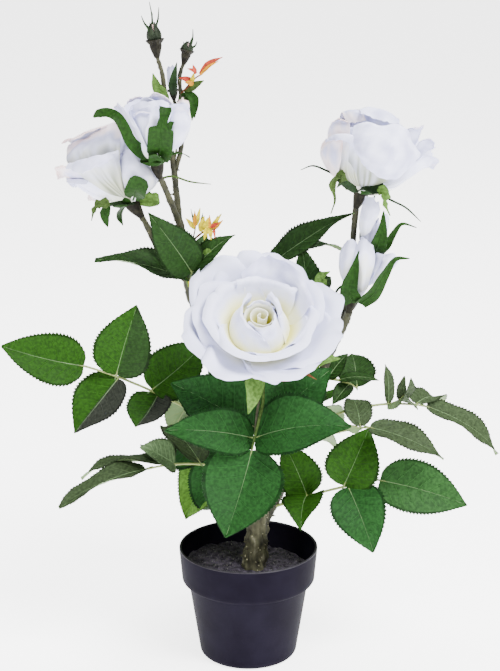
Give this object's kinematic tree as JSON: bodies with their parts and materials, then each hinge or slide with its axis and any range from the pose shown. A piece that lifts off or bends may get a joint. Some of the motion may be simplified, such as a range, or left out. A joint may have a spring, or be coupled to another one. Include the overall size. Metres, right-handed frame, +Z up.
{
  "type": "artificial potted rose bush",
  "caption": "Artificial rose bush with large white blooms, closed buds and toothed compound leaves on thin stems, set in a round plastic pot with a hard gritty fill.",
  "frame": {"origin": "centre of the pot's flat underside", "axes": "+Z up, +X to the right and -Y to the front, the side that the large open rose faces"},
  "size_m": [0.3883, 0.2343, 0.517],
  "materials": {
    "pot_plastic": "dark charcoal moulded plastic, satin",
    "grit": "near-black hardened grit, rough",
    "bark": "rough moulded bark, olive brown with pale flecks",
    "stem_plastic": "dark olive moulded plastic with small bumps",
    "leaf_fabric": "printed woven leaf with pressed veins",
    "petal_fabric": "white pressed fabric, matt",
    "bud_plastic": "dark grey-green moulded plastic"
  },
  "bodies": {
    "root": {"bud_back_left": "petal_fabric", "bud_low_right": "petal_fabric", "bud_short": "bud_plastic", "bud_side_right": "petal_fabric", "bud_tall": "bud_plastic", "leaves_back_high_left": "leaf_fabric", "leaves_back_high_right": "leaf_fabric", "leaves_back_left": "leaf_fabric", "leaves_back_low_left": "leaf_fabric", "leaves_back_low_right": "leaf_fabric", "leaves_back_middle": "leaf_fabric", "leaves_back_right": "leaf_fabric", "leaves_front": "leaf_fabric", "leaves_left_hanging": "leaf_fabric", "leaves_left_high": "leaf_fabric", "leaves_left_low": "leaf_fabric", "leaves_left_top": "leaf_fabric", "leaves_right_high": "leaf_fabric", "leaves_right_inner": "leaf_fabric", "leaves_right_low": "leaf_fabric", "leaves_right_middle": "leaf_fabric", "leaves_right_top": "leaf_fabric", "pot": "pot_plastic", "pot_fill": "grit", "rose_front": "petal_fabric", "rose_left": "petal_fabric", "rose_right": "petal_fabric", "rose_upper": "petal_fabric", "stem_bud_back": "stem_plastic", "stem_bud_short": "stem_plastic", "stem_bud_side": "stem_plastic", "stem_bud_tall": "stem_plastic", "stem_centre": "stem_plastic", "stem_left_low": "stem_plastic", "stem_left_mid": "stem_plastic", "stem_left_rose": "stem_plastic", "stem_right": "stem_plastic", "stem_right_rose": "stem_plastic", "stem_upper_rose": "stem_plastic", "trunk": "bark"}
  },
  "joints": []
}
